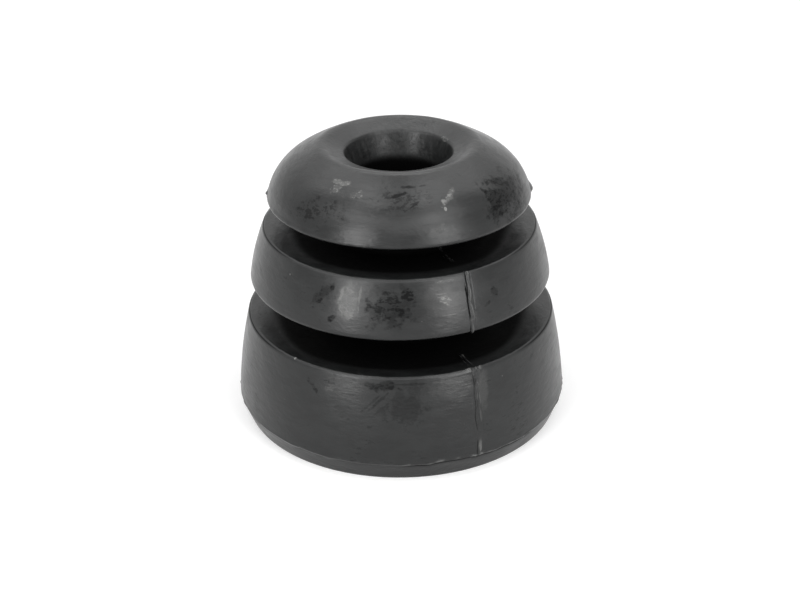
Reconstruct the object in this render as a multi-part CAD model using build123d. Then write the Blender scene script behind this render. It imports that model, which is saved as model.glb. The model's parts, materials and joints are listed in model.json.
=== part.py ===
from build123d import *
from math import cos, radians, sin
import os

# A turned rubber buffer that slides on a damper rod: three lobes, two deep grooves,
# a domed top with a dished mouth and a funnel, and a straight bore from end to end.
# Millimetres and degrees. The axis is Z and the underside lies on Z = 0.

# Foot band, tapering in below the widest ring
foot_radius = 38.0
foot_band_height = 4.8
girth_radius = 40.0

# Lowest lobe, up to its rim
low_side_height = 20.9
low_side_bulge = 0.4
low_rim_radius = 36.6
low_rim_bevel = 0.5

# Lower groove, with its two inner corners filled
lower_groove_gap = 8.4
lower_neck_radius = 20.0
lower_root_bevel = 1.5

# Middle lobe, from its lower edge to its rim
mid_edge_radius = 35.8
mid_side_height = 13.5
mid_side_bulge = 0.4
mid_rim_radius = 32.1
mid_rim_bevel = 0.5

# Upper groove, with its two inner corners filled
upper_groove_gap = 6.2
upper_neck_radius = 19.0
upper_root_bevel = 1.2

# Top lobe: the side leans in and turns through a round shoulder to the dome
top_edge_radius = 30.9
top_edge_bevel = 0.6
shoulder_lean = 7.5
shoulder_rounding = 13.5
shoulder_turn = 50.8
dome_turn = 7.5

# The lip rounds over and falls as a shallow dish to the mouth, where the funnel starts
lip_rounding = 3.2
dish_fall = 20.0
mouth_radius = 12.6
mouth_bevel = 0.8
funnel_lean = 17.6

# Bore, a loose fit on the rod, with its lower edge broken
rod_diameter = 20.0
rod_clearance = 0.5
bore_bevel = 1.0

# Heights up the outside, each from the one below it
bore_radius = rod_diameter / 2 + rod_clearance
low_rim_height = foot_band_height + low_side_height
mid_edge_height = low_rim_height + lower_groove_gap
mid_rim_height = mid_edge_height + mid_side_height
top_edge_height = mid_rim_height + upper_groove_gap


def upward(lean):
    """Direction of travel up the outside, leaning in towards the axis by so many degrees."""
    return Vector(-sin(radians(lean)), cos(radians(lean)))


def downward(lean):
    """Direction of travel down the inside, leaning in towards the axis by so many degrees."""
    return Vector(-sin(radians(lean)), -cos(radians(lean)))


def crown(top_edge):
    """The top lobe from its lower edge to the bore, as runs that pass into one another without a kink."""
    shoulder = JernArc(top_edge, upward(shoulder_lean), shoulder_rounding, shoulder_turn)

    # The dome is part of a ball that has its centre on the axis
    dome_lean = shoulder_lean + shoulder_turn
    ball_radius = (shoulder @ 1).X / cos(radians(dome_lean))
    dome = JernArc(shoulder @ 1, shoulder % 1, ball_radius, dome_turn)

    # The lip goes on from the dome until it falls inwards
    lip = JernArc(dome @ 1, dome % 1, lip_rounding, 90 - dome_lean - dome_turn + dish_fall)
    dish_length = ((lip @ 1).X - mouth_radius) / cos(radians(dish_fall))
    mouth = lip @ 1 + (lip % 1) * dish_length
    funnel_length = (mouth_radius - bore_radius) / sin(radians(funnel_lean))
    funnel_end = mouth + downward(funnel_lean) * funnel_length
    return shoulder + dome + lip + Polyline(lip @ 1, mouth, funnel_end), mouth, funnel_end


def half_section():
    """One side of the buffer cut through its axis, with X as the radius and Y as the height."""
    girth = Vector(girth_radius, foot_band_height)
    low_rim = Vector(low_rim_radius, low_rim_height)
    low_floor = Vector(lower_neck_radius, low_rim_height)
    low_roof = Vector(lower_neck_radius, mid_edge_height)
    mid_edge = Vector(mid_edge_radius, mid_edge_height)
    mid_rim = Vector(mid_rim_radius, mid_rim_height)
    high_floor = Vector(upper_neck_radius, mid_rim_height)
    high_roof = Vector(upper_neck_radius, top_edge_height)
    top_edge = Vector(top_edge_radius, top_edge_height)
    top, mouth, funnel_end = crown(top_edge)
    bore_foot = Vector(bore_radius, 0)

    outline = Polyline(funnel_end, bore_foot, (foot_radius, 0), girth)
    outline += SagittaArc(girth, low_rim, -low_side_bulge)
    outline += Polyline(low_rim, low_floor, low_roof, mid_edge)
    outline += SagittaArc(mid_edge, mid_rim, -mid_side_bulge)
    outline += Polyline(mid_rim, high_floor, high_roof, top_edge)
    outline += top
    section = make_face(outline)

    bevels = [
        (bore_foot, bore_bevel),
        (low_rim, low_rim_bevel),
        (low_floor, lower_root_bevel),
        (low_roof, lower_root_bevel),
        (mid_rim, mid_rim_bevel),
        (high_floor, upper_root_bevel),
        (high_roof, upper_root_bevel),
        (top_edge, top_edge_bevel),
        (mouth, mouth_bevel),
    ]
    for corner, bevel in bevels:
        vertex = section.vertices().sort_by_distance(corner)[0]
        section = chamfer(vertex, bevel)
    return section


os.makedirs("parts", exist_ok=True)
body = revolve(Plane.XZ * half_section(), Axis.Z)
export_step(body, "parts/rubber_buffer.step")
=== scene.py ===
# %% [markdown]
# # A moulded rubber buffer
# This lesson dresses one turned rubber part: three lobes with deep grooves between them, a domed top
# and a funnel that leads a damper rod into the bore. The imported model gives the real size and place,
# and every Blender object is made in the same frame, in metres, with the bore along +Z.

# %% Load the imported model
import json
import math
import bpy
from mathutils import Matrix, Vector, noise

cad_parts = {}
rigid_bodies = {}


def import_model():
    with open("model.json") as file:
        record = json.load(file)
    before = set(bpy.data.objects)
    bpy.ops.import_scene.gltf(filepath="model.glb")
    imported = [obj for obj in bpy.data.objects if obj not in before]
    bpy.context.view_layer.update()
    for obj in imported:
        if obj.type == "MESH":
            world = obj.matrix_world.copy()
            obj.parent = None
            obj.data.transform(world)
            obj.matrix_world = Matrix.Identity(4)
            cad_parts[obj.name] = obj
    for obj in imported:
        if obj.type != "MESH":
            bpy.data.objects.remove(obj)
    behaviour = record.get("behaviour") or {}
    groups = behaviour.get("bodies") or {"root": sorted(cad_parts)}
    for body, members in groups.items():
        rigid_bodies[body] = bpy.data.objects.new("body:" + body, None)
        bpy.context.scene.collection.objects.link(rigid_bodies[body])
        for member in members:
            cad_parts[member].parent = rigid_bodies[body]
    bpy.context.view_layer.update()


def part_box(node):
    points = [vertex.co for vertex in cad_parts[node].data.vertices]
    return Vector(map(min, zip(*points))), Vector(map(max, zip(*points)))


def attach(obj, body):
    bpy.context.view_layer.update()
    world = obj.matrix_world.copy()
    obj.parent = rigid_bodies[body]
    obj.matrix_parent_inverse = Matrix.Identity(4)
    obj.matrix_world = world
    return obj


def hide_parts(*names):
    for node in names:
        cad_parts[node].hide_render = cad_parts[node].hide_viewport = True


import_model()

MM = 0.001
low_corner, high_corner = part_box("rubber_buffer")
crest_height = high_corner[2] / MM
girth_radius = high_corner[0] / MM
print("packed body:", round(2 * girth_radius, 2), "mm across and", round(crest_height, 2), "mm tall")

# %% [markdown]
# ## Camera
# The camera comes first, because the shape of every mark is judged through it. A small product shot
# at this distance has strong perspective: the foot's ring is seen rounder than the mouth's. The angle
# towards the part is given from the parting plane, where the mould's two side halves met.

# %% Camera at the photo's viewing angle, in millimetres and degrees
camera_distance = 360.0
camera_elevation = 27.545
camera_azimuth = 26.4
look_height = 25.957
side_step = -0.095
camera_roll = -0.723
lens_length = 66.79
sensor_width = 36
near_clip = 10


def from_camera(turn, radius, z):
    """A place by its angle to the right of the middle, as the camera sees the part."""
    angle = math.radians(turn - camera_azimuth)
    return Vector((radius * math.sin(angle), -radius * math.cos(angle), z))


def aim_camera():
    """Stands the camera on its sight line and rolls it about that line."""
    rise = math.radians(camera_elevation)
    target = Vector((0, 0, look_height))
    away = from_camera(0, math.cos(rise), math.sin(rise))
    right = from_camera(90, 1, 0)
    bpy.ops.object.camera_add(location=(target + away * camera_distance + right * side_step) * MM)
    camera = bpy.context.object
    camera.name = "camera"
    sight = (-away).to_track_quat("-Z", "Y").to_matrix()
    roll = Matrix.Rotation(math.radians(camera_roll), 3, "Z")
    camera.rotation_euler = (sight @ roll).to_euler()
    camera.data.lens = lens_length
    camera.data.sensor_width = sensor_width
    camera.data.clip_start = near_clip * MM
    bpy.context.scene.camera = camera
    return camera


camera = aim_camera()
print("camera at", [round(v / MM, 1) for v in camera.location], "mm")

# %% [markdown]
# ## World and lamps
# The world is white to the camera and in what glossy surfaces mirror, but dim as a light, so almost all the
# light on the part comes from soft panels. Black rubber shows little colour of its own: what draws its form
# is the sheen of what stands round it. So two upright strips, left and right of the camera, give every lobe
# two bands of sheen, and weaker panels above and all round carry a soft grey over the dome.

# %% Node helpers
def put(tree, kind, sockets=None, **settings):
    """Adds a node, sets what it is given and links or fills its inputs."""
    node = tree.nodes.new(kind if kind.startswith("NodeGroup") else "ShaderNode" + kind)
    for name, value in settings.items():
        setattr(node, name, value)
    for key, value in (sockets or {}).items():
        if isinstance(value, bpy.types.NodeSocket):
            tree.links.new(value, node.inputs[key])
        else:
            node.inputs[key].default_value = value
    return node


def calc(tree, operation, first, second=0.0):
    """A sum, product or other calculation on numbers."""
    return put(tree, "Math", {0: first, 1: second}, operation=operation).outputs[0]


def times(tree, first, second):
    """The product of two masks or numbers."""
    return calc(tree, "MULTIPLY", first, second)


def most(tree, first, *others):
    """The largest of several masks or numbers."""
    for other in others:
        first = calc(tree, "MAXIMUM", first, other)
    return first


print("node helpers are ready")

# %% Colour management and world
scene = bpy.context.scene
scene.view_settings.view_transform = "Standard"
sky_level = 0.05


def seen_rays(tree):
    """A socket that is 1 for rays of the camera, of gloss and of clear surfaces, and 0 for plain light."""
    path = put(tree, "LightPath").outputs
    return most(tree, path["Is Camera Ray"], path["Is Glossy Ray"], path["Is Transmission Ray"])


def white_world():
    """A world that is white where it is seen or mirrored, and dim as a light."""
    world = bpy.data.worlds.new("studio")
    scene.world = world
    world.use_nodes = True
    tree = world.node_tree
    background = tree.nodes["Background"]
    level = put(tree, "MapRange", {"Value": seen_rays(tree), "To Min": sky_level}).outputs["Result"]
    tree.links.new(level, background.inputs["Strength"])
    background.inputs["Color"].default_value = (1, 1, 1, 1)


white_world()
print("world level as a light:", sky_level)

# %% Two upright strips, in metres
strip_distance = 0.40
strip_height = 0.12
strip_tall = 0.27
strips = (("left_strip", -35, 0.14, 6.0), ("right_strip", 37, 0.15, 5.0))


def softbox(name, place, aim_height, width, tall, level):
    """A rectangular lamp that faces the axis, and is level times as bright as white paper in full light."""
    bpy.ops.object.light_add(type="AREA", location=place)
    lamp = bpy.context.object
    lamp.name = name
    lamp.data.shape = "RECTANGLE"
    lamp.data.size = width
    lamp.data.size_y = tall
    lamp.data.energy = level * math.pi * width * tall
    lamp.rotation_euler = (Vector((0, 0, aim_height)) - place).to_track_quat("-Z", "Y").to_euler()
    lamp.visible_camera = False


for name, turn, width, level in strips:
    softbox(name, from_camera(turn, strip_distance, strip_height), strip_height, width, strip_tall, level)
print("strips:", [name for name, *rest in strips])

# %% [markdown]
# Each row of the panels gives the angle to the right of the camera in degrees, the distance from the axis
# and the height in metres, the width and height of the lamp's face, and its level.

# %% Weaker panels above and all round
panel_aim = 0.05
panels = (
    ("left_side", -72, 0.42, 0.37, 0.24, 0.24, 1.0),
    ("left_upper", -36, 0.42, 0.37, 0.24, 0.24, 1.5),
    ("front_upper", 0, 0.42, 0.37, 0.24, 0.24, 1.5),
    ("right_upper", 34, 0.42, 0.37, 0.24, 0.24, 2.5),
    ("left_between", -40, 0.50, 0.56, 0.30, 0.20, 2.0),
    ("right_between", 40, 0.50, 0.56, 0.30, 0.20, 2.0),
    ("high_left", -60, 0.60, 0.80, 0.32, 0.36, 1.5),
    ("high_right", 60, 0.60, 0.80, 0.32, 0.36, 1.5),
    ("high_left_back", -135, 0.60, 0.80, 0.55, 0.36, 1.5),
    ("high_right_back", 135, 0.60, 0.80, 0.55, 0.36, 1.5),
    ("high_back", 180, 0.60, 0.80, 0.32, 0.36, 2.5),
    ("top_left_front", -60, 0.28, 0.95, 0.30, 0.30, 3.5),
    ("top_right_front", 60, 0.28, 0.95, 0.30, 0.30, 3.5),
    ("top_left_back", -120, 0.28, 0.95, 0.30, 0.30, 3.0),
    ("top_right_back", 120, 0.28, 0.95, 0.30, 0.30, 3.0),
)
for name, turn, away, z, width, tall, level in panels:
    softbox(name, from_camera(turn, away, z), panel_aim, width, tall, level)

# %% [markdown]
# ## Floor
# A floor that is white as a surface throws much light back up under the lobes, so this one is grey. A glow
# of its own, which only the camera and reflections meet, makes it read as white paper and leaves the soft
# shadow. The lamps light only the middle of the floor, so the glow rises to full white further out.

# %% Floor, in metres
floor_half = 4.0
floor_grey = 0.65
floor_roughness = 0.9
floor_gloss = 0.1
near_glow = 0.46
glow_rises_from = 0.25
glow_is_full_at = 0.60


def pale_floor():
    """A wide floor that reads as white paper and keeps the part's soft shadow."""
    bpy.ops.mesh.primitive_plane_add(size=2 * floor_half, location=(0, 0, low_corner[2]))
    floor = bpy.context.object
    floor.name = "floor"
    material = bpy.data.materials.new("white_paper")
    material.use_nodes = True
    tree = material.node_tree
    shader = tree.nodes["Principled BSDF"]
    shader.inputs["Base Color"].default_value = (floor_grey, floor_grey, floor_grey, 1)
    shader.inputs["Roughness"].default_value = floor_roughness
    shader.inputs["Specular IOR Level"].default_value = floor_gloss
    shader.inputs["Emission Color"].default_value = (1, 1, 1, 1)
    place = put(tree, "TexCoord").outputs["Object"]
    away = put(tree, "VectorMath", {0: place}, operation="LENGTH").outputs["Value"]
    sockets = {"Value": away, "From Min": glow_rises_from, "From Max": glow_is_full_at, "To Min": near_glow}
    glow = put(tree, "MapRange", sockets).outputs["Result"]
    tree.links.new(times(tree, glow, seen_rays(tree)), shader.inputs["Emission Strength"])
    floor.data.materials.append(material)


pale_floor()
print("floor:", 2 * floor_half, "m square")

# %% [markdown]
# ## The turned section
# The body is one moulding, the same all the way round, so its shape is a single outline turned about the
# bore. Drawing the outline as straight runs, bends and rounded corners keeps every size in sight. The
# rims are small roundings, because rubber never fills a mould to a knife edge. Each helper that draws a
# run is told last in how many steps.

# %% Outline helpers
def heading(lean):
    """Direction of travel up the outside, leaning in towards the bore by so many degrees."""
    angle = math.radians(lean)
    return Vector((-math.sin(angle), math.cos(angle)))


def straight(start, end, steps):
    """Points along a straight run, without its start."""
    return [start.lerp(end, i / steps) for i in range(1, steps + 1)]


def bend(start, lean, radius, turn, steps):
    """Points along an arc that sets off at one lean and turns in towards the bore."""
    centre = start + heading(lean + 90) * radius
    return [centre - heading(lean + turn * i / steps + 90) * radius for i in range(1, steps + 1)]


def bulged(start, end, bulge, steps):
    """Points along a shallow arc that stands out from its chord by the bulge."""
    chord = end - start
    outward = Vector((chord.y, -chord.x)).normalized()
    points = []
    for i in range(1, steps + 1):
        share = i / steps
        points.append(start + chord * share + outward * bulge * 4 * share * (1 - share))
    return points


def rounded(before, corner, after, radius, steps):
    """Points of a rounding that touches both legs of a corner."""
    to_before = (before - corner).normalized()
    to_after = (after - corner).normalized()
    half = to_before.angle(to_after) / 2
    reach = radius / math.tan(half)
    centre = corner + (to_before + to_after).normalized() * radius / math.sin(half)
    first = corner + to_before * reach - centre
    last = corner + to_after * reach - centre
    sweep = -first.angle_signed(last)
    return [centre + Matrix.Rotation(sweep * i / steps, 2) @ first for i in range(steps + 1)]


print("outline helpers are ready")

# %% Sizes of the section, in millimetres
bore_radius = 10.5
bore_bevel = 1.0
foot_radius = 38.0
foot_rounding = 0.5
band_height = 4.8
flash_room = 0.15
low_rim = Vector((36.6, 25.7))
mid_edge = Vector((35.8, 34.1))
mid_rim = Vector((32.1, 47.6))
top_edge = Vector((30.9, 53.8))
side_bulge = 0.45
low_neck = 20.0
high_neck = 19.0
rim_rounding = 1.0
low_root = 1.8
high_root = 1.4
shoulder_lean = 7.5
shoulder_radius = 13.5
shoulder_turn = 50.8
dome_turn = 7.5
lip_rounding = 3.2
dish_fall = 20.0
mouth_radius = 12.6
mouth_rounding = 1.2
funnel_lean = 17.6
least_gap = 0.2
fine_steps_from = 0.85


def low_lobe():
    """The foot band and the lowest lobe's side, with short steps at the ring where they meet."""
    girth = Vector((girth_radius - flash_room, band_height))
    foot = Vector((foot_radius, 0))
    points = rounded(Vector((bore_radius, 0)), foot, girth, foot_rounding, 5)
    below = points[-1].lerp(girth, fine_steps_from)
    points += straight(points[-1], below, 6) + straight(below, girth, 5)
    side = bulged(girth, low_rim, side_bulge, 40)
    turn = rounded(side[-3], low_rim, Vector((low_neck, low_rim.y)), rim_rounding, 8)
    points += straight(girth, side[0], 4) + [p for p in side[1:] if p.y < turn[0].y - least_gap]
    return points + turn


def mid_lobe():
    """The middle lobe's side between its two rounded edges."""
    side = bulged(mid_edge, mid_rim, side_bulge, 27)
    lower = rounded(Vector((low_neck, mid_edge.y)), mid_edge, side[1], rim_rounding, 6)
    upper = rounded(side[-3], mid_rim, Vector((high_neck, mid_rim.y)), rim_rounding, 8)
    between = [p for p in side if lower[-1].y + least_gap < p.y < upper[0].y - least_gap]
    return lower + between + upper


def groove(rim, neck, edge, root):
    """The floor, neck and roof of a groove, with both inner corners filled."""
    floor_root = Vector((neck, rim.y))
    roof_root = Vector((neck, edge.y))
    floor_turn = rounded(rim, floor_root, roof_root, root, 6)
    roof_turn = rounded(floor_root, roof_root, edge, root, 6)
    floor_start = Vector((rim.x - rim_rounding, rim.y))
    roof_end = Vector((edge.x - rim_rounding, edge.y))
    points = straight(floor_start, floor_turn[0], 12)[:-1] + floor_turn
    points += straight(floor_turn[-1], roof_turn[0], 4)[:-1] + roof_turn
    points += straight(roof_turn[-1], roof_end, 10)[:-1]
    return points


def top_lobe():
    """The top lobe from its lower edge over the dome, the lip and the dish to the foot of the funnel."""
    up = heading(shoulder_lean)
    points = rounded(Vector((high_neck, top_edge.y)), top_edge, top_edge + up, rim_rounding, 6)
    shoulder = bend(top_edge, shoulder_lean, shoulder_radius, shoulder_turn, 30)
    points += [p for p in shoulder if p.y > points[-1].y + least_gap]
    lean = shoulder_lean + shoulder_turn
    ball_radius = points[-1].x / math.cos(math.radians(lean))
    points += bend(points[-1], lean, ball_radius, dome_turn, 8)
    lean += dome_turn
    points += bend(points[-1], lean, lip_rounding, 90 - lean + dish_fall, 12)
    inwards = heading(90 + dish_fall)
    mouth = points[-1] + inwards * (points[-1].x - mouth_radius) / math.cos(math.radians(dish_fall))
    down = heading(180 - funnel_lean)
    funnel_end = mouth + down * (mouth_radius - bore_radius) / math.sin(math.radians(funnel_lean))
    turn = rounded(points[-1], mouth, funnel_end, mouth_rounding, 10)
    return points + straight(points[-1], turn[0], 6)[:-1] + turn + straight(turn[-1], funnel_end, 10)


def section():
    """The whole outline, from the bore's foot round the outside and back down the bore."""
    bore_foot = Vector((bore_radius, bore_bevel))
    under = Vector((bore_radius + bore_bevel, 0))
    outside = low_lobe() + groove(low_rim, low_neck, mid_edge, low_root)
    outside += mid_lobe() + groove(mid_rim, high_neck, top_edge, high_root) + top_lobe()
    points = [bore_foot, under] + straight(under, outside[0], 6)[:-1] + outside
    return points + straight(points[-1], bore_foot, 10)


outline = section()
print("outline points:", len(outline), "crest at", round(max(p.y for p in outline), 2), "mm")

# %% [markdown]
# ## The body
# By hand, a turned form is drawn as a chain of points and turned about its axis. The chain starts from one
# point, which a small plane gives when it is merged at its centre, and each further point is extruded from
# the last. Most of the turn has plain columns. The mould's side halves met at -Y and +Y, and there the
# columns stand much closer, so that the thin parting marks can be real geometry.

# %% Extrude the outline
seam_half_angle = 2.4
seam_columns = 40
plain_columns = 128


def select_only(*pieces):
    """Selects these objects and nothing else, with the first one active."""
    bpy.ops.object.select_all(action="DESELECT")
    for piece in pieces:
        piece.select_set(True)
    bpy.context.view_layer.objects.active = pieces[0]


def extruded_chain(name, points):
    """A chain of edges through the points, which lie in the plane of X and Z."""
    bpy.ops.object.select_all(action="DESELECT")
    bpy.ops.mesh.primitive_plane_add(size=MM, location=(0, 0, 0))
    piece = bpy.context.object
    piece.name = name
    piece.data.name = name
    bpy.ops.object.mode_set(mode="EDIT")
    bpy.ops.mesh.select_mode(type="VERT")
    bpy.ops.mesh.select_all(action="SELECT")
    bpy.ops.mesh.merge(type="CENTER")
    bpy.ops.transform.translate(value=(points[0].x * MM, 0, points[0].y * MM))
    for before, point in zip(points, points[1:]):
        step = (point - before) * MM
        bpy.ops.mesh.extrude_vertices_move(TRANSFORM_OT_translate={"value": (step.x, 0, step.y)})
    bpy.ops.object.mode_set(mode="OBJECT")
    return piece


chain = extruded_chain("moulded_body", outline)
print("chain:", len(chain.data.edges), "edges")

# %% Turn the outline in four sectors and join them
weld_distance = 0.002


def sector(chain, start, sweep, columns):
    """A copy of the chain, set at its first angle and turned through its share of the circle."""
    select_only(chain)
    bpy.ops.object.duplicate()
    piece = bpy.context.object
    piece.rotation_euler.z = math.radians(start)
    bpy.ops.object.transform_apply(rotation=True)
    screw = piece.modifiers.new("turn", "SCREW")
    screw.axis = "Z"
    screw.angle = math.radians(sweep)
    screw.steps = columns
    screw.render_steps = columns
    bpy.ops.object.modifier_apply(modifier=screw.name)
    return piece


def joined_body(chain):
    """The four sectors as one closed mesh whose faces point outwards."""
    plain_sweep = 180 - 2 * seam_half_angle
    parts = []
    for seam in (-90, 90):
        parts.append(sector(chain, seam - seam_half_angle, 2 * seam_half_angle, seam_columns))
        parts.append(sector(chain, seam + seam_half_angle, plain_sweep, plain_columns))
    select_only(chain)
    bpy.ops.object.delete()
    select_only(*parts)
    bpy.ops.object.join()
    bpy.ops.object.mode_set(mode="EDIT")
    bpy.ops.mesh.select_all(action="SELECT")
    bpy.ops.mesh.remove_doubles(threshold=weld_distance * MM)
    bpy.ops.mesh.normals_make_consistent(inside=False)
    bpy.ops.object.mode_set(mode="OBJECT")
    body = bpy.context.object
    body.name = "moulded_body"
    body.data.name = "moulded_body"
    return body


def open_edges(piece):
    """How many edges don't have exactly two faces."""
    counts = {}
    for face in piece.data.polygons:
        for key in face.edge_keys:
            counts[key] = counts.get(key, 0) + 1
    return sum(1 for n in counts.values() if n != 2)


body = joined_body(chain)
print("body:", len(body.data.polygons), "faces and", open_edges(body), "open edges")

# %% [markdown]
# ## What the mould leaves behind
# A moulding is never quite the drawing. Its sides are slightly uneven, a hair of rubber squeezes out where
# the mould's parts meet, and the edges of the lobes are a little ragged. Each of these is a small move of
# the mesh along its normals, from hundredths of a millimetre to over half a millimetre. Noise with fixed
# seeds steers the moves, so they come out the same each time. The tone of a mark is kept on the mesh for
# the material: worn flash is paler than the rubber round it, and creases, grooves and bore get painted shade.

# %% Helpers for the marks
noise_gain = 1.6
seed_steps = (7.31, 3.17)
seed_start = 0.5


def wander(seed, along, reach):
    """A slow line of noise, mostly between -1 and 1, which changes over the given reach."""
    spot = Vector((along / reach, seed * seed_steps[0], seed * seed_steps[1] + seed_start))
    return noise.noise(spot) * noise_gain


def fade(value, low, high):
    """0 below low, 1 above high, and smooth between."""
    share = min(max((value - low) / (high - low), 0.0), 1.0)
    return share * share * (3 - 2 * share)


def hump(value, centre, half_width):
    """1 at the centre, falling smoothly to 0 at the half width on both sides."""
    share = abs(value - centre) / half_width
    return 0.0 if share >= 1 else (1 - share * share) ** 2


def torn(seed, along, reach, low, high):
    """1 where a mark is whole and 0 where it is torn away, as the noise goes from low to high."""
    return fade(wander(seed, along, reach), low, high)


print("noise check:", round(wander(1, 10, 4), 4))

# %% [markdown]
# The side parting carries several marks: a sharp crease and a second one beside it, a low ridge, short
# dashes, torn lumps and tabs, and the slightly sunk land between them. On the lowest lobe they are shallow
# and wander more, and higher up they are deeper and straighter. Each mark is a mask from 0 to 1: a hump has
# a centre and a half width, and torn noise breaks it up. Places are the distance to the right of the
# parting and the height, in millimetres. The table says how far each mark stands out, and then its tone.
# The dark tone of the two creases is painted shade.

# %% Marks of the side parting
parting_marks = {
    # the dark tones of the two creases are painted shade
    "crease_and_shade": (-0.17, -1.0),
    "second_crease": (-0.13, -0.8),
    "ridge": (0.10, 0.38),
    "upper_ridge": (0.0, 0.14),
    "dash": (0.10, 0.6),
    "lump": (0.10, 0.75),
    "tab": (0.40, 0.0),
    "crumbs": (0.16, 0.6),
    "smear": (0.0, 0.2),
    "land": (-0.03, 0.1),
    "lower_land": (0.0, -0.4),
}


def parting_masks(right, z, seed):
    """Where each mark of the parting lies."""
    upper = fade(z, 28, 32)
    lower = 1 - upper
    deep = 0.5 + 0.5 * upper
    swing = (0.12 + 0.16 * lower) * wander(seed + 1, z, 4)
    drift = 0.55 - swing - 0.2 * fade(43 - z, 0, 7) * upper
    apart = 0.42 * fade(z, 40, 45) + 0.45 * lower * torn(seed + 3, z, 5, -0.2, 0.5)
    crease_and_shade = hump(right, -drift, 0.24) * torn(seed + 2, z, 3, -0.8, 0.0)
    second = hump(right, apart - drift, 0.2) * torn(seed + 4, z, 3, -0.6, 0.1) * fade(apart, 0.1, 0.3)
    ridge = hump(right, 0.5 + 0.25 * wander(seed + 5, z, 4), 0.32) * torn(seed + 6, z, 3, -0.35, 0.4)
    dash = hump(right, 0.1 + 0.3 * wander(seed + 7, z, 2), 0.22) * torn(seed + 8, z, 1.8, 0.25, 0.6)
    low_lump = hump(z, 7.0, 2.4) * hump(right, 0.2 - 0.3 * wander(seed + 10, z, 1.5), 0.65)
    mid_lump = hump(z, 35.2, 1.7) * hump(right, 0.25, 0.45)
    land = fade(right, -0.5, -0.3) * (1 - fade(right, 1.05, 1.3))
    land *= 0.6 + 0.4 * wander(seed + 9, right * 6 + z * 0.1, 1)
    return {
        "crease_and_shade": deep * crease_and_shade,
        "second_crease": deep * second,
        "ridge": ridge,
        "upper_ridge": upper * ridge,
        "dash": dash,
        "lump": low_lump + 0.6 * mid_lump,
        "tab": hump(z, 34.1, 0.9) * hump(right, 0.15, 0.5),
        "crumbs": hump(z, 25.6, 1.1) * torn(seed + 11, right, 0.5, -0.3, 0.3),
        "smear": hump(z, 16.5, 5.0) * (hump(right, 1.25, 0.45) + hump(right, -1.3, 0.4)),
        "land": land,
        "lower_land": lower * fade(z, 18, 20.5) * land,
    }


def side_parting(right, z, seed):
    """Height and tone of all the marks beside the parting."""
    masks = parting_masks(right, z, seed)
    height = sum(rise * masks[name] for name, (rise, tone) in parting_marks.items())
    tone = sum(tone * masks[name] for name, (rise, tone) in parting_marks.items())
    return height, tone


deepest = min(side_parting(i / 20 - 1, 40, 2)[0] for i in range(40))
print("side parting, deepest at 40 mm up:", round(deepest, 3), "mm")

# %% [markdown]
# The parting also leaves thin fins of flash on the floors of the grooves, torn where they were pulled off.
# Each groove's fin lies between two radii, with a weaker one beside it. A fin is paler as flash, and its
# tone is raised further as painted light, so that it shows in the groove's shade.

# %% Torn fins of flash on the groove floors
fin_rise = 0.6
fin_tone_with_painted_light = 2.4
fin_half_width = 0.34
side_fin_share = 0.7
side_fin_place = -0.5
side_fin_half_width = 0.22
low_fin = (27.5, 35.4)
high_fin = (22.3, 26.2)


def groove_flash(right, radius, near, far, seed):
    """Height and tone of a thin torn fin on a groove's floor between two radii; its paleness is partly
    painted light.
    """
    there = fade(radius, near, near + 1.5) * (1 - fade(radius, far - 0.8, far))
    line = hump(right, 0.35 * wander(seed, radius, 2.2), fin_half_width)
    beside = 0.4 * wander(seed + 2, radius, 2.0) + side_fin_place
    line += side_fin_share * hump(right, beside, side_fin_half_width)
    fin = line * torn(seed + 1, radius, 1.2, -0.6, 0.4) * there
    return fin_rise * fin, fin_tone_with_painted_light * fin


print("fins between the radii", low_fin, "and", high_fin, "mm")

# %% [markdown]
# Other marks run round the body. Their angle is first turned into millimetres along the part's side, so
# that the noise changes over real distances.

# %% Marks at the foot ring
ring_arc = 0.7
ring_half_width = 1.2
ring_radius = 37
ring_seed = 5
bead_rise = 0.15
bead_tone = 0.8
bead_half_width = 0.36
under_depth = 0.1
under_line_shade = 0.6
under_place = -0.5
under_half_width = 0.34


def ring_at(turn, radius, z):
    """The ragged bead where the foot ring of the mould met its side halves, and the sunk line under it,
    darkened as painted shade.
    """
    from_ring = z - band_height
    if abs(from_ring) >= ring_half_width or radius <= ring_radius:
        return 0.0, 0.0
    around = turn * ring_arc
    middle = 0.3 * wander(ring_seed, around, 3.0)
    line = hump(from_ring, middle + 0.12 * wander(ring_seed + 1, around, 0.9), bead_half_width)
    full = 0.3 + 0.7 * torn(ring_seed + 2, around, 6, -0.1, 0.4)
    full = max(full, fade(turn, -6, 6) * (1 - fade(turn, 30, 40)))
    bead = line * full * torn(ring_seed + 3, around, 1.3, -0.5, 0.35)
    under = hump(from_ring, middle + under_place, under_half_width) * full
    return bead_rise * bead - under_depth * under, bead_tone * bead - under_line_shade * under


beads = [ring_at(turn, girth_radius, band_height)[0] for turn in range(-90, 90)]
print("bead at the ring, highest:", round(max(beads), 3), "mm")

# %% Marks at the top lobe's edge and at the rims
outer_radius = 28
edge_arc = 0.55
edge_seed = 11
edge_rise = 0.22
edge_tone = 1.6
dull_edge_tone = 0.45
rim_arc = 0.6
rim_seeds = ((low_rim, 61), (mid_rim, 67))
crease_half_width = 0.36
crease_depth = 0.07
rim_crease_shade = 0.6
crease_inwards = 0.12
crease_down = 0.28


def top_edge_at(turn, radius, z):
    """Flash along the top lobe's lower edge, and its duller part on the left."""
    if radius <= outer_radius:
        return 0.0, 0.0
    around = turn * edge_arc
    above = z - top_edge.y
    full = torn(edge_seed, around, 5, 0.0, 0.6) * (0.6 + 0.4 * wander(edge_seed + 1, around, 0.8))
    flash = edge_rise * full * hump(above, 0.9, 0.7)
    dull = hump(above, 0.3, 0.9) * fade(-turn, 18, 40)
    return flash, edge_tone * flash - dull_edge_tone * dull


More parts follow.
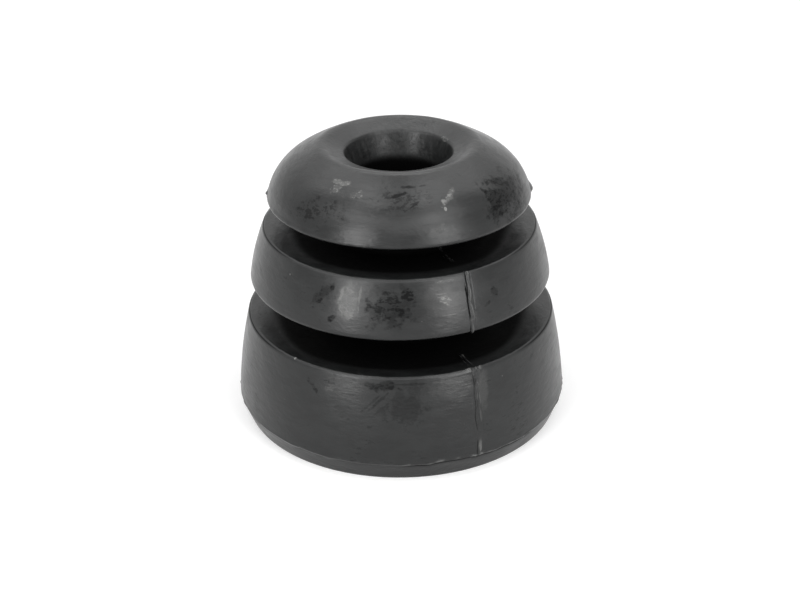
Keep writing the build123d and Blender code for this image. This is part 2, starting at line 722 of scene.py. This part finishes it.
def rims_at(turn, radius, z):
    """Fine creases just outside the rims of the lower two lobes, darkened as painted shade."""
    depth = 0.0
    for rim, seed in rim_seeds:
        off = math.hypot(radius - rim.x + crease_inwards, z - rim.y + crease_down)
        whole = fade(abs(turn), 35, 60) * torn(seed, turn * rim_arc, 8, -0.9, -0.3)
        depth += whole * hump(off, 0, crease_half_width)
    return -crease_depth * depth, -rim_crease_shade * depth


print("rims with a crease:", len(rim_seeds))

# %% [markdown]
# Each point of the mesh is known by its radius, its height, its angle and its distance to the right of the
# nearer parting. These tell which marks reach it.

# %% Where a place lies on the body
low_side_radius = 34.5
mid_side_radius = 31.5
mid_side_height = 33.5
mouth_lip_radius = 13
top_lobe_height = 47
level_tolerance = 0.02


def is_outside(radius, z):
    """Whether a place is on the side of a lobe or on the dome, and not in a groove or the bore."""
    on_mid_side = z > mid_side_height and radius > mid_side_radius
    on_top_lobe = z > top_lobe_height and radius > mouth_lip_radius
    return radius > low_side_radius or on_mid_side or on_top_lobe


def is_level_with(z, *edges):
    """Whether a height is that of one of these edges, and so on the flat face behind it."""
    return any(abs(z - edge.y) < level_tolerance for edge in edges)


print("the lower rim is outside:", is_outside(low_rim.x, low_rim.y))

# %% Marks beside the parting
parting_half_width = 1.6
parting_top = 49
lead_in = 0.8
root_gap = 1.5
front_seed = 2
back_seed = 40
fin_seed_step = 20


def parting_at(right, radius, z, front):
    """Marks beside the parting: fins on the groove floors, and lines up the sides of the lobes."""
    if abs(right) >= parting_half_width:
        return 0.0, 0.0
    seed = front_seed if front else back_seed
    if is_level_with(z, low_rim, mid_rim) and radius > high_neck + root_gap:
        near, far = low_fin if z < mid_edge.y else high_fin
        return groove_flash(right, radius, near, far, seed + fin_seed_step)
    on_side = is_outside(radius, z) and not is_level_with(z, mid_edge, top_edge)
    if on_side and band_height < z < parting_top:
        height, tone = side_parting(right, z, seed)
        return height * fade(z, band_height, band_height + lead_in), tone
    return 0.0, 0.0


print("parting marks reach", parting_half_width, "mm to each side")

# %% [markdown]
# The real grooves and bore are close to black, darker than plain light leaves them, so painted shade makes
# their tone fall inwards. It starts further in where a groove opens left and right in the view. The nubs are
# small ends of flash that stand out at the outline.

# %% Painted shade inside, and nubs at the outline
groove_painted_shade = 0.9
dark_starts = 0.8
dark_starts_later = 2.4
dark_is_full = 5.0
dark_is_full_later = 4.5
bore_painted_shade = 0.7
bore_shade_below = 61
bore_shade_depth = 3
bore_wall_radius = 12.4
open_angle = 80
open_half_width = 45
groove_margin = 0.05
nub_arc = 0.5
nub_spots = (
    (91.0, 55.0, 1.9, 0.55),
    (-88.5, 55.1, 0.7, 0.4),
    (87.0, 4.6, 0.9, 0.15),
    (-87.0, 4.5, 0.9, 0.15),
)


def painted_inner_shade(turn, radius, z):
    """How much painted shade darkens the floors and walls of the grooves and the bore, growing inwards."""
    dark = 0.0
    for rim, edge in ((low_rim, mid_edge), (mid_rim, top_edge)):
        if rim.y - groove_margin < z < edge.y + groove_margin:
            open_end = hump(abs(turn), open_angle, open_half_width)
            low = dark_starts + dark_starts_later * open_end
            high = dark_is_full + dark_is_full_later * open_end
            dark += groove_painted_shade * fade(rim.x - radius, low, high)
    if radius < bore_wall_radius:
        dark += bore_painted_shade * fade(bore_shade_below - z, 0, bore_shade_depth)
    return dark


def nubs_at(turn, radius, z):
    """Height of the nubs, each given by its angle, its height, its half size and how far it stands out."""
    height = 0.0
    for spot_turn, spot_z, size, rise in nub_spots:
        off = math.hypot(z - spot_z, (turn - spot_turn) * nub_arc)
        height += rise * hump(off, 0, size)
    return height if radius > outer_radius else 0.0


print("nubs:", len(nub_spots))

# %% Add the marks up over the body
unevenness = ((0.035, 5.5), (0.008, 2.3))
even_foot = 0.6
widest = girth_radius - 0.01


def marks_at(turn, radius, z, right, front):
    """Height and tone of all marks at a place."""
    parts = [parting_at(right, radius, z, front)]
    parts += [make(turn, radius, z) for make in (ring_at, top_edge_at, rims_at)]
    height = sum(part[0] for part in parts) + nubs_at(turn, radius, z)
    # The tone holds paler flash, darker marks, and painted shade in the grooves and bore.
    tone = sum(part[1] for part in parts) - painted_inner_shade(turn, radius, z)
    return height, tone


def mould_marks(body):
    """Moves each point by the marks at its place and stores their tone, painted shade included, on the mesh.
    """
    mesh = body.data
    normals = [n.vector.copy() for n in mesh.vertex_normals]
    # The stored tone holds paler flash, darker marks and painted shade in the creases, grooves and bore.
    tones = mesh.attributes.new("mark_and_shade_tone", "FLOAT", "POINT")
    for vertex, normal in zip(mesh.vertices, normals):
        place = vertex.co / MM
        radius = math.hypot(place.x, place.y)
        front = place.y < 0
        right = place.x if front else -place.x
        turn = math.degrees(math.atan2(place.x, -place.y)) + camera_azimuth
        turn = turn - 360 if turn > 180 else turn
        height, tone = marks_at(turn, radius, place.z, right, front)
        if is_outside(radius, place.z) and place.z > even_foot:
            height += sum(rise * noise.noise(place / reach) for rise, reach in unevenness)
        tones.data[vertex.index].value = tone
        place += normal * height
        reach = math.hypot(place.x, place.y)
        if reach > widest:
            place *= widest / reach
        place.z = min(max(place.z, 0.0), crest_height)
        vertex.co = place * MM


mould_marks(body)
reaches = [math.hypot(v.co.x, v.co.y) / MM for v in body.data.vertices]
print("marks made; widest point at", round(max(reaches), 3), "mm")

# %% Smooth shading, with the fine edges kept
sharp_angle = 50
select_only(body)
bpy.ops.object.shade_smooth_by_angle(angle=math.radians(sharp_angle))
print("smooth faces:", sum(p.use_smooth for p in body.data.polygons))

# %% [markdown]
# ## Rubber
# Moulded rubber is dark, neutral and satin. Its life shows in the finish more than in the colour: cloudy
# patches of bloom, scuffs that are duller than the sheen round them, fine streaks from wiping, and chalky
# specks of release powder. Each effect is a node group that is built once and placed as often as the rubber
# needs it, and all of them read the place in millimetres, so every scale is a real one.

# %% Helpers for masks and node groups
def spread(tree, value, low, high, to_low=0.0, to_high=1.0):
    """Maps a range of numbers to another one, smoothly and within its ends."""
    sockets = {"Value": value, "From Min": low, "From Max": high, "To Min": to_low, "To Max": to_high}
    return put(tree, "MapRange", sockets, interpolation_type="SMOOTHSTEP").outputs["Result"]


def mix(tree, share, first, second):
    """A colour between two, on the Mix node's sockets for colours."""
    return put(tree, "Mix", {0: share, 6: first, 7: second}, data_type="RGBA").outputs[2]


def noise_at(tree, place, scale, detail, roughness, distortion=0.0):
    """The value of a noise texture at a place."""
    sockets = {"Vector": place, "Scale": scale, "Detail": detail, "Roughness": roughness}
    sockets["Distortion"] = distortion
    return put(tree, "TexNoise", sockets).outputs["Fac"]


def new_group(name, inputs):
    """An empty node group with one mask as its output, and its inputs by name and default."""
    group = bpy.data.node_groups.new(name, "ShaderNodeTree")
    for label, default in inputs.items():
        kind = "NodeSocketFloat" if isinstance(default, float) else "NodeSocketVector"
        socket = group.interface.new_socket(label, in_out="INPUT", socket_type=kind)
        if default is not None:
            socket.default_value = default
    group.interface.new_socket("Mask", in_out="OUTPUT", socket_type="NodeSocketFloat")
    return group, put(group, "NodeGroupInput").outputs


def give_mask(group, mask):
    """Leads a mask out of its node group."""
    group.links.new(mask, put(group, "NodeGroupOutput").inputs["Mask"])
    return group


print("helpers for masks are ready")

# %% Node groups: soft patches, and a patch with a ragged outline
patch_end = 1.15


def soft_patches():
    """Cloudy areas, as in bloom."""
    group, given = new_group("soft_patches", {"Place": None, "Scale": 0.1, "Low": 0.45, "High": 0.65})
    cloud = noise_at(group, given["Place"], given["Scale"], 3.0, 0.6)
    return give_mask(group, spread(group, cloud, given["Low"], given["High"]))


def ragged_patch():
    """One area, by its centre, its turn and its half sizes, with an outline that noise has pulled about."""
    inputs = {"Place": None, "Ragged": 0.0, "Centre": None, "Turn": None, "Half Size": (1, 1, 1), "Edge": 0.5}
    group, given = new_group("ragged_patch", inputs)
    sockets = {"Vector": given["Place"], "Location": given["Centre"], "Rotation": given["Turn"]}
    sockets["Scale"] = given["Half Size"]
    local = put(group, "Mapping", sockets, vector_type="TEXTURE").outputs[0]
    far = put(group, "VectorMath", {0: local}, operation="LENGTH").outputs["Value"]
    far = calc(group, "ADD", far, given["Ragged"])
    return give_mask(group, spread(group, far, given["Edge"], patch_end, 1.0, 0.0))


effects = {"soft_patches": soft_patches(), "ragged_patch": ragged_patch()}
print("node groups:", sorted(effects))

# %% Node groups: brushed streaks, and speckle
def brushed_streaks():
    """Fine lines that run round the body, as wiping leaves them."""
    inputs = {"Place": None, "Along": 0.12, "Across": 2.4, "Low": 0.5, "High": 0.7}
    group, given = new_group("brushed_streaks", inputs)
    stretch = put(group, "CombineXYZ", {0: given["Along"], 1: given["Along"], 2: given["Across"]}).outputs[0]
    place = put(group, "VectorMath", {0: given["Place"], 1: stretch}, operation="MULTIPLY").outputs[0]
    lines = noise_at(group, place, 1.0, 4.0, 0.65, 0.3)
    return give_mask(group, spread(group, lines, given["Low"], given["High"]))


def speckle():
    """Broken grains, as chalk or rubbed dirt leaves them."""
    group, given = new_group("speckle", {"Place": None, "Scale": 1.0, "Threshold": 0.55, "Soft": 0.06})
    grains = noise_at(group, given["Place"], given["Scale"], 4.0, 0.68)
    top = calc(group, "ADD", given["Threshold"], given["Soft"])
    return give_mask(group, spread(group, grains, given["Threshold"], top))


effects["brushed_streaks"] = brushed_streaks()
effects["speckle"] = speckle()
print("node groups:", sorted(effects))

# %% Node groups: scribble, and network
def scribble():
    """Short crooked lines, where something hard has dragged over the rubber."""
    group, given = new_group("scribble", {"Place": None, "Scale": 0.6, "Width": 0.02})
    field = noise_at(group, given["Place"], given["Scale"], 2.0, 0.6, 0.8)
    off = calc(group, "ABSOLUTE", calc(group, "SUBTRACT", field, 0.5))
    return give_mask(group, spread(group, off, 0.0, given["Width"], 1.0, 0.0))


def network():
    """A net of fine cracks in a dried film."""
    group, given = new_group("network", {"Place": None, "Scale": 0.8, "Width": 0.09})
    warp = put(group, "TexNoise", {"Vector": given["Place"], "Scale": 0.7, "Detail": 2.0}).outputs["Color"]
    place = put(group, "VectorMath", {0: given["Place"], 1: warp}, operation="ADD").outputs[0]
    sockets = {"Vector": place, "Scale": given["Scale"]}
    cells = put(group, "TexVoronoi", sockets, feature="DISTANCE_TO_EDGE").outputs["Distance"]
    return give_mask(group, spread(group, cells, 0.0, given["Width"], 1.0, 0.0))


effects["scribble"] = scribble()
effects["network"] = network()
print("node groups:", sorted(effects))

# %% [markdown]
# ## Where the scuffs, the chalk and the painted highlights lie
# Marks by handling are not the same all over, so the clear ones are placed one by one. The wiped patches
# and the broad film on the middle lobe lie on the bands of sheen and are partly painted highlight. Each row
# of the tables gives a mark's angle to the right of the camera, its radius and height, then its half width,
# depth and half height, its tilt and its strength, and last the share of it that the grain leaves unbroken.
# Fainter random marks cover the rest of the body.

# %% Tables of marks, in millimetres and degrees
dull_marks = [
    ("dome_front_rubbed", 2, 25, 63.2, 5.2, 3.4, 2.2, 0, 0.55, 0),
    ("dome_stroke_top", 5, 22, 65, 1.5, 2, 0.2, 0, 0.8, 0.8),
    ("dome_stroke_top_right", 13.2, 21.9, 65.05, 1.1, 2, 0.12, 2, 0.6, 0.8),
    ("dome_stroke_middle", 0, 23.8, 64, 2.6, 2, 0.24, 12, 0.9, 0.9),
    ("dome_stroke_low", 6.8, 26.1, 62.4, 2.6, 2, 0.24, 24, 0.9, 0.8),
    ("dome_stroke_foot", 0, 26.7, 61.9, 0.9, 2, 0.14, -10, 0.35, 0.8),
    ("dome_left_dim", -38, 28.4, 60.1, 8, 3, 2.6, 8, 0.6, 0.2),
    # These two rows darken the dome's right side and take away its sheen.
    ("dome_right_dark", 59, 27.8, 60.4, 9, 4.5, 5.8, 0, 1, 0.62),
    ("dome_right_low", 62, 30.2, 56.3, 7, 3, 3, 0, 0.8, 0.4),
    ("mid_front_dark", -3, 34.1, 41.9, 5.8, 3, 4.8, 20, 0.85, 0.45),
    ("mid_front_core", 2, 33.5, 43.9, 2.3, 3, 2, 0, 0.9, 0.3),
    ("mid_front_foot", -2, 34.5, 40.4, 3.2, 3, 1.6, 25, 0.9, 0.55),
    ("mid_left_blotch", -30, 33.9, 42.7, 3.8, 3, 1.3, 48, 0.9, 0.45),
    ("mid_left_corner", -26.7, 33.2, 44.6, 0.8, 3, 0.6, 0, 1, 0.8),
    ("mid_left_spot", -25.6, 35, 38, 0.9, 3, 0.7, 30, 1, 0.6),
    ("mid_right_scuff", 37.5, 34.1, 42.3, 1.5, 3, 0.8, -50, 0.75, 0.45),
    ("mid_right_dash_dark", 33.8, 34.7, 39.9, 0.9, 3, 0.4, 25, 0.5, 0.6),
    ("low_rim_smudge", -5.7, 37.1, 23.6, 4.4, 3, 1.3, 0, 0.8, 0.6),
    ("low_rim_line", -0.5, 37, 24.1, 6.6, 3, 0.32, 0, 0.6, 0.7),
    ("low_front_dim", 1.8, 38, 19.5, 5, 3, 4.8, 0, 0.4, 0.7),
    ("low_stroke_left", -10.7, 38, 19.4, 3.8, 3, 0.3, 45, 0.4, 0.7),
    ("low_stroke_middle", -8, 37.9, 19.9, 4.4, 3, 0.45, 45, 0.5, 0.7),
    ("low_stroke_right", -6.2, 38.1, 18.7, 3, 3, 0.3, 40, 0.35, 0.7),
    ("low_left_scuff", -31.7, 37.7, 20.8, 2.2, 3, 0.7, -45, 0.6, 0.35),
    ("low_tick_upper", -25.7, 37.3, 23, 1.9, 3, 0.5, 0, 0.5, 0.1),
    ("low_far_left", -74, 39, 12.6, 0.7, 3, 1.5, 25, 0.5, 0.5),
]
chalk_marks = [
    ("dome_left_bar", -33.9, 22.4, 64.8, 2.6, 2, 0.45, 0, 1, 0.4),
    ("dome_left_tail", -34.8, 23.8, 64, 1.3, 1.8, 1, 0, 0.9, 0.25),
    ("dome_left_lower", -21.4, 24.5, 63.6, 1.7, 1.6, 0.9, 0, 0.7, 0.2),
    ("dome_right_bar", 25.5, 25.1, 63.2, 3.4, 2, 0.6, 28, 1.4, 0.25),
    ("dome_right_end", 21.5, 25.9, 62.6, 0.9, 1.5, 0.6, 0, 1.4, 0.7),
    ("dome_speck", 21.5, 27.3, 61.3, 0.24, 0.6, 0.34, 0, 2, 1),
    ("dome_edge_dash", -63, 30.7, 54.5, 1.5, 1.2, 0.22, 0, 0.7, 0.8),
    ("mouth_speck_left", -48, 12.9, 64.9, 0.5, 0.5, 0.5, 0, 1.2, 0.6),
    ("mouth_speck_right", 120, 12.9, 64.9, 1.6, 0.7, 0.6, 0, 0.7, 0.05),
    ("film_left", -22.6, 33.5, 43.8, 0.4, 3, 1.8, -15, 0.6, 0.7),
    ("film_top", -18.8, 33.3, 44.6, 1.2, 3, 0.7, 0, 0.6, 0.6),
    ("film_right", -15.4, 33.8, 43, 0.3, 3, 3.2, -4, 0.5, 0.7),
    ("film_foot", -19, 34.6, 39.8, 1.1, 3, 1.3, 0, 0.6, 0.5),
    ("film_foot_left", -22, 34.4, 40.4, 0.7, 3, 1.1, 30, 0.5, 0.5),
    ("mid_right_fleck", 18.3, 32.5, 46.6, 2.3, 1.5, 0.4, 0, 0.7, 0.3),
    ("mid_right_ragged", 16.9, 33.9, 42.6, 1.1, 3, 1, -25, 1.2, 0.2),
    ("mid_right_dash", 14.6, 33.4, 44.1, 1.3, 3, 0.14, 0, 0.6, 0.7),
    ("mid_right_dash_low", 15.4, 33.6, 43.4, 1, 3, 0.12, 0, 0.5, 0.7),
    ("mid_right_line", 16.6, 34.8, 39.4, 2.5, 3, 0.13, 0, 0.5, 0.8),
    ("low_rim_speck", -41.5, 36.2, 25.6, 0.3, 0.5, 0.3, 0, 1.6, 1),
    ("mid_left_speck", -47.6, 33.3, 44.5, 0.22, 1, 0.22, 0, 0.55, 1),
    ("low_right_speck", 37.5, 37.5, 21.8, 0.14, 1, 0.14, 0, 0.35, 1),
    ("dome_far_speck", -85, 27.7, 60.9, 0.3, 1, 0.3, 0, 1.6, 1),
]
# The two middle-lobe rows lay pale film over the bands of sheen: partly cracked film, partly painted
# highlight.
film_marks = [
    ("mid_bright", -19.4, 33.9, 42.6, 3, 3, 4.6, 0, 0.5, 0.6),
    ("mid_right_film", 15, 33.5, 43, 4.8, 3, 4.4, 0, 0.12, 0.7),
    ("low_beside_seam", 29, 37.7, 20.6, 1.5, 3, 5.6, -3, 0.16, 0.8),
]
# Pale streaky patches over the bands of sheen: painted highlight, broken up by wiping streaks.
wiped_highlight_marks = [
    ("shoulder_light", 17.5, 29.9, 57.4, 3.4, 3, 1.3, 0, 0.7, 0.3),
    ("low_left_wiped", -19.4, 37.2, 22.9, 4.6, 3, 2.8, 0, 0.7, 0.15),
    ("low_right_wiped", 17.5, 37.3, 22.4, 5, 3, 3.6, 6, 0.75, 0.2),
    ("mid_right_wiped", 22, 34.3, 41, 5, 3, 4, 0, 0.35, 0.2),
]
pale_marks = chalk_marks + film_marks + wiped_highlight_marks
print("placed marks:", len(dull_marks), "dull and", len(pale_marks), "pale")

# %% [markdown]
# ## The finish
# First come the masks: textures laid over the whole body, the placed marks, which those textures break up
# and some of which are partly painted highlight, and the tones on the mesh: paler flash and painted shade.

# %% Helpers that place the effects
def effect(tree, kind, sockets, label):
    """Places one of the node groups and gives its mask."""
    return put(tree, "Group", sockets, node_tree=effects[kind], label=label).outputs["Mask"]


def placed(tree, place, ragged, rows, grain):
    """One mask from a table: ragged patches, each broken up by the grain but for its unbroken share."""
    total = None
    for name, turn, radius, z, wide, deep, tall, tilt, strength, unbroken in rows:
        sockets = {"Place": place, "Ragged": ragged, "Centre": from_camera(turn, radius, z)}
        sockets["Turn"] = (0, math.radians(-tilt), math.radians(turn - camera_azimuth))
        sockets["Half Size"] = (wide, deep, tall)
        patch = times(tree, effect(tree, "ragged_patch", sockets, name), strength)
        patch = times(tree, patch, most(tree, grain, unbroken))
        total = patch if total is None else most(tree, total, patch)
    return total


print("effects that can be placed:", len(effects))

# %% Textures laid over the whole body
unrolling_radius = 16.0
lengthening = 0.08
textures = {
    "bloom": ("soft_patches", "straight", {"Scale": 0.075, "Low": 0.42, "High": 0.66}),
    "streaks": ("brushed_streaks", "straight", {"Low": 0.48, "High": 0.72}),
    "strokes": ("speckle", "unrolled", {"Scale": 0.95, "Threshold": 0.5, "Soft": 0.06}),
    "flecks": ("speckle", "unrolled", {"Scale": 1.9, "Threshold": 0.5, "Soft": 0.1}),
    "grit": ("speckle", "unrolled", {"Scale": 1.3, "Threshold": 0.53, "Soft": 0.06}),
    "dust": ("speckle", "unrolled", {"Scale": 1.3, "Threshold": 0.72, "Soft": 0.04}),
    "lines": ("scribble", "straight", {"Scale": 0.42, "Width": 0.03}),
    "mottle": ("soft_patches", "unrolled", {"Scale": 0.42, "Low": 0.35, "High": 0.65}),
    "stray_areas": ("soft_patches", "straight", {"Scale": 0.15, "Low": 0.56, "High": 0.66}),
    "cracks": ("network", "straight", {"Scale": 0.75}),
    "drawn": ("speckle", "lengthened", {"Scale": 1.1, "Threshold": 0.45, "Soft": 0.2}),
}


def rubber_places(tree):
    """The place in millimetres: as it is, unrolled round the bore, and squeezed to draw marks out upwards."""
    coords = put(tree, "TexCoord").outputs["Object"]
    place = put(tree, "VectorMath", {0: coords, "Scale": 1 / MM}, operation="SCALE").outputs[0]
    x, y, z = put(tree, "SeparateXYZ", {0: place}).outputs
    reach = calc(tree, "SQRT", calc(tree, "ADD", times(tree, x, x), times(tree, y, y)))
    arc = times(tree, calc(tree, "ARCTAN2", x, times(tree, y, -1.0)), unrolling_radius)
    unrolled = put(tree, "CombineXYZ", {0: arc, 1: reach, 2: z}).outputs[0]
    lengthened = put(tree, "CombineXYZ", {0: x, 1: y, 2: times(tree, z, lengthening)}).outputs[0]
    return {"straight": place, "unrolled": unrolled, "lengthened": lengthened, "reach": reach, "z": z}


print("textures:", sorted(textures))

# %% Masks of the finish
line_strength = 0.8
stray_strength = 0.32
dust_strength = 0.5
raggedness = 0.45
film_raggedness = 0.4
bloom_share = 0.5
pale_tones = (0.05, 0.9)
crease_and_shade_tones = (-0.05, -0.8)
funnel_radii = (12.9, 12.5)
drawn_heights = (58.0, 62.0)
border_noise = (0.45, 3.0, 0.6)
grain_noise = (1.3, 2.0, 0.5)


def placed_masks(tree, place, masks):
    """The scuffs, chalk, film and wiped places from their tables; film and wiped are partly painted
    highlight.
    """
    border = noise_at(tree, place, *border_noise)
    ragged = spread(tree, border, 0.3, 0.7, -raggedness, raggedness)
    broken_lines = times(tree, times(tree, masks["lines"], masks["flecks"]), line_strength)
    rubbed = most(tree, masks["strokes"], masks["grit"], broken_lines)
    stray = times(tree, times(tree, masks["stray_areas"], masks["grit"]), stray_strength)
    film_edge = times(tree, ragged, film_raggedness)
    specks = placed(tree, place, ragged, chalk_marks, masks["flecks"])
    return {
        "scuffs": most(tree, placed(tree, place, ragged, dull_marks, rubbed), stray),
        "film_and_highlight": placed(tree, place, film_edge, film_marks, masks["cracks"]),
        "chalk": most(tree, specks, times(tree, masks["dust"], dust_strength)),
        "wiped_highlight": placed(tree, place, ragged, wiped_highlight_marks, masks["streaks"]),
    }


def finish_masks(tree):
    """Every mask of the rubber, by name."""
    places = rubber_places(tree)
    masks = {}
    for name, (kind, where, settings) in textures.items():
        masks[name] = effect(tree, kind, {"Place": places[where], **settings}, name)
    masks.update(placed_masks(tree, places["straight"], masks))
    # The tone on the mesh holds paler flash, painted light on the groove fins, and painted shade in the
    # creases, grooves and bore.
    tone = put(tree, "Attribute", attribute_name="mark_and_shade_tone").outputs["Fac"]
    masks["pale"] = spread(tree, tone, *pale_tones)
    masks["crease_and_shade"] = spread(tree, tone, *crease_and_shade_tones)
    in_funnel = times(tree, masks["drawn"], spread(tree, places["reach"], *funnel_radii))
    masks["drawn"] = times(tree, in_funnel, spread(tree, places["z"], *drawn_heights))
    bloom = times(tree, masks["bloom"], bloom_share)
    masks["cloudy"] = calc(tree, "ADD", bloom, times(tree, masks["mottle"], 1 - bloom_share))
    masks["grain"] = noise_at(tree, places["straight"], *grain_noise)
    return masks


print("scuffs stray over the body at", stray_strength, "of their strength")

# %% [markdown]
# The masks are laid over each other for colour, each as strong as its share, and added up for roughness and
# for the bump, in millimetres. Rubbed dirt mirrors less than the rubber round it, and painted shade dulls the
# creases, grooves and bore. Metallic does that on an almost black colour, and the export keeps it, though
# nothing on the rubber is a metal.

# %% Colours and strengths of the finish
dark_rubber = (0.0056, 0.0060, 0.0061, 1)
bloomed_rubber = (0.0105, 0.0112, 0.0112, 1)
scuffed_rubber = (0.0022, 0.0023, 0.0024, 1)
# Colour of the painted shade in creases, grooves and bore.
crease_and_shade_colour = (0.0008, 0.0008, 0.0008, 1)
chalk_and_highlight_colour = (0.17, 0.17, 0.165, 1)
# The film and wiped layers are partly painted highlight, the pale one holds painted light on the groove fins,
# and the last one is painted shade.
colour_layers = (
    ("drawn", 0.05, chalk_and_highlight_colour),
    ("scuffs", 1.0, scuffed_rubber),
    ("film_and_highlight", 0.9, chalk_and_highlight_colour),
    ("wiped_highlight", 0.35, chalk_and_highlight_colour),
    ("chalk", 0.9, chalk_and_highlight_colour),
    ("pale", 0.5, chalk_and_highlight_colour),
    ("crease_and_shade", 1.0, crease_and_shade_colour),
)
clear_roughness = 0.28
cloudy_roughness = 0.36
added_roughness = {"drawn": 0.12, "streaks": 0.08, "scuffs": 0.05, "chalk": 0.2, "crease_and_shade": 0.5}
# Metallic dulls the scuffs, and the painted shade in creases, grooves and bore.
dullness = {"scuffs": 0.8, "crease_and_shade": 0.9}
bump_heights = {"grain": 0.008, "mottle": 0.03, "streaks": 0.004}
rubber_ior = 1.43
print("colour layers:", [name for name, *rest in colour_layers])

# %% The rubber material
def added_up(tree, start, masks, shares):
    """A value with each of the named masks added at its share."""
    for name, share in shares.items():
        start = calc(tree, "ADD", start, times(tree, masks[name], share))
    return start


def rubber():
    """Satin black rubber with bloom, scuffs, streaks, chalk, painted highlight, and the mould's marks' tone
    with painted shade.
    """
    material = bpy.data.materials.new("charcoal_rubber")
    material.use_nodes = True
    tree = material.node_tree
    shader = tree.nodes["Principled BSDF"]
    masks = finish_masks(tree)
    colour = mix(tree, masks["cloudy"], dark_rubber, bloomed_rubber)
    for name, share, layer in colour_layers:
        colour = mix(tree, times(tree, masks[name], share), colour, layer)
    rough = spread(tree, masks["cloudy"], 0.0, 1.0, clear_roughness, cloudy_roughness)
    rough = added_up(tree, rough, masks, added_roughness)
    dull = most(tree, *(times(tree, masks[name], share) for name, share in dullness.items()))
    height = added_up(tree, 0.0, masks, bump_heights)
    bump = put(tree, "Bump", {"Height": height, "Distance": MM}).outputs["Normal"]
    results = {"Base Color": colour, "Roughness": rough, "Metallic": dull, "Normal": bump}
    for socket, value in results.items():
        tree.links.new(value, shader.inputs[socket])
    shader.inputs["IOR"].default_value = rubber_ior
    return material


body.data.materials.clear()
body.data.materials.append(rubber())
print("rubber nodes:", len(body.data.materials[0].node_tree.nodes))

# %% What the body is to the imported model
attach(body, "root")
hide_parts("rubber_buffer")
print(body.name, "stands for the packed rubber_buffer")
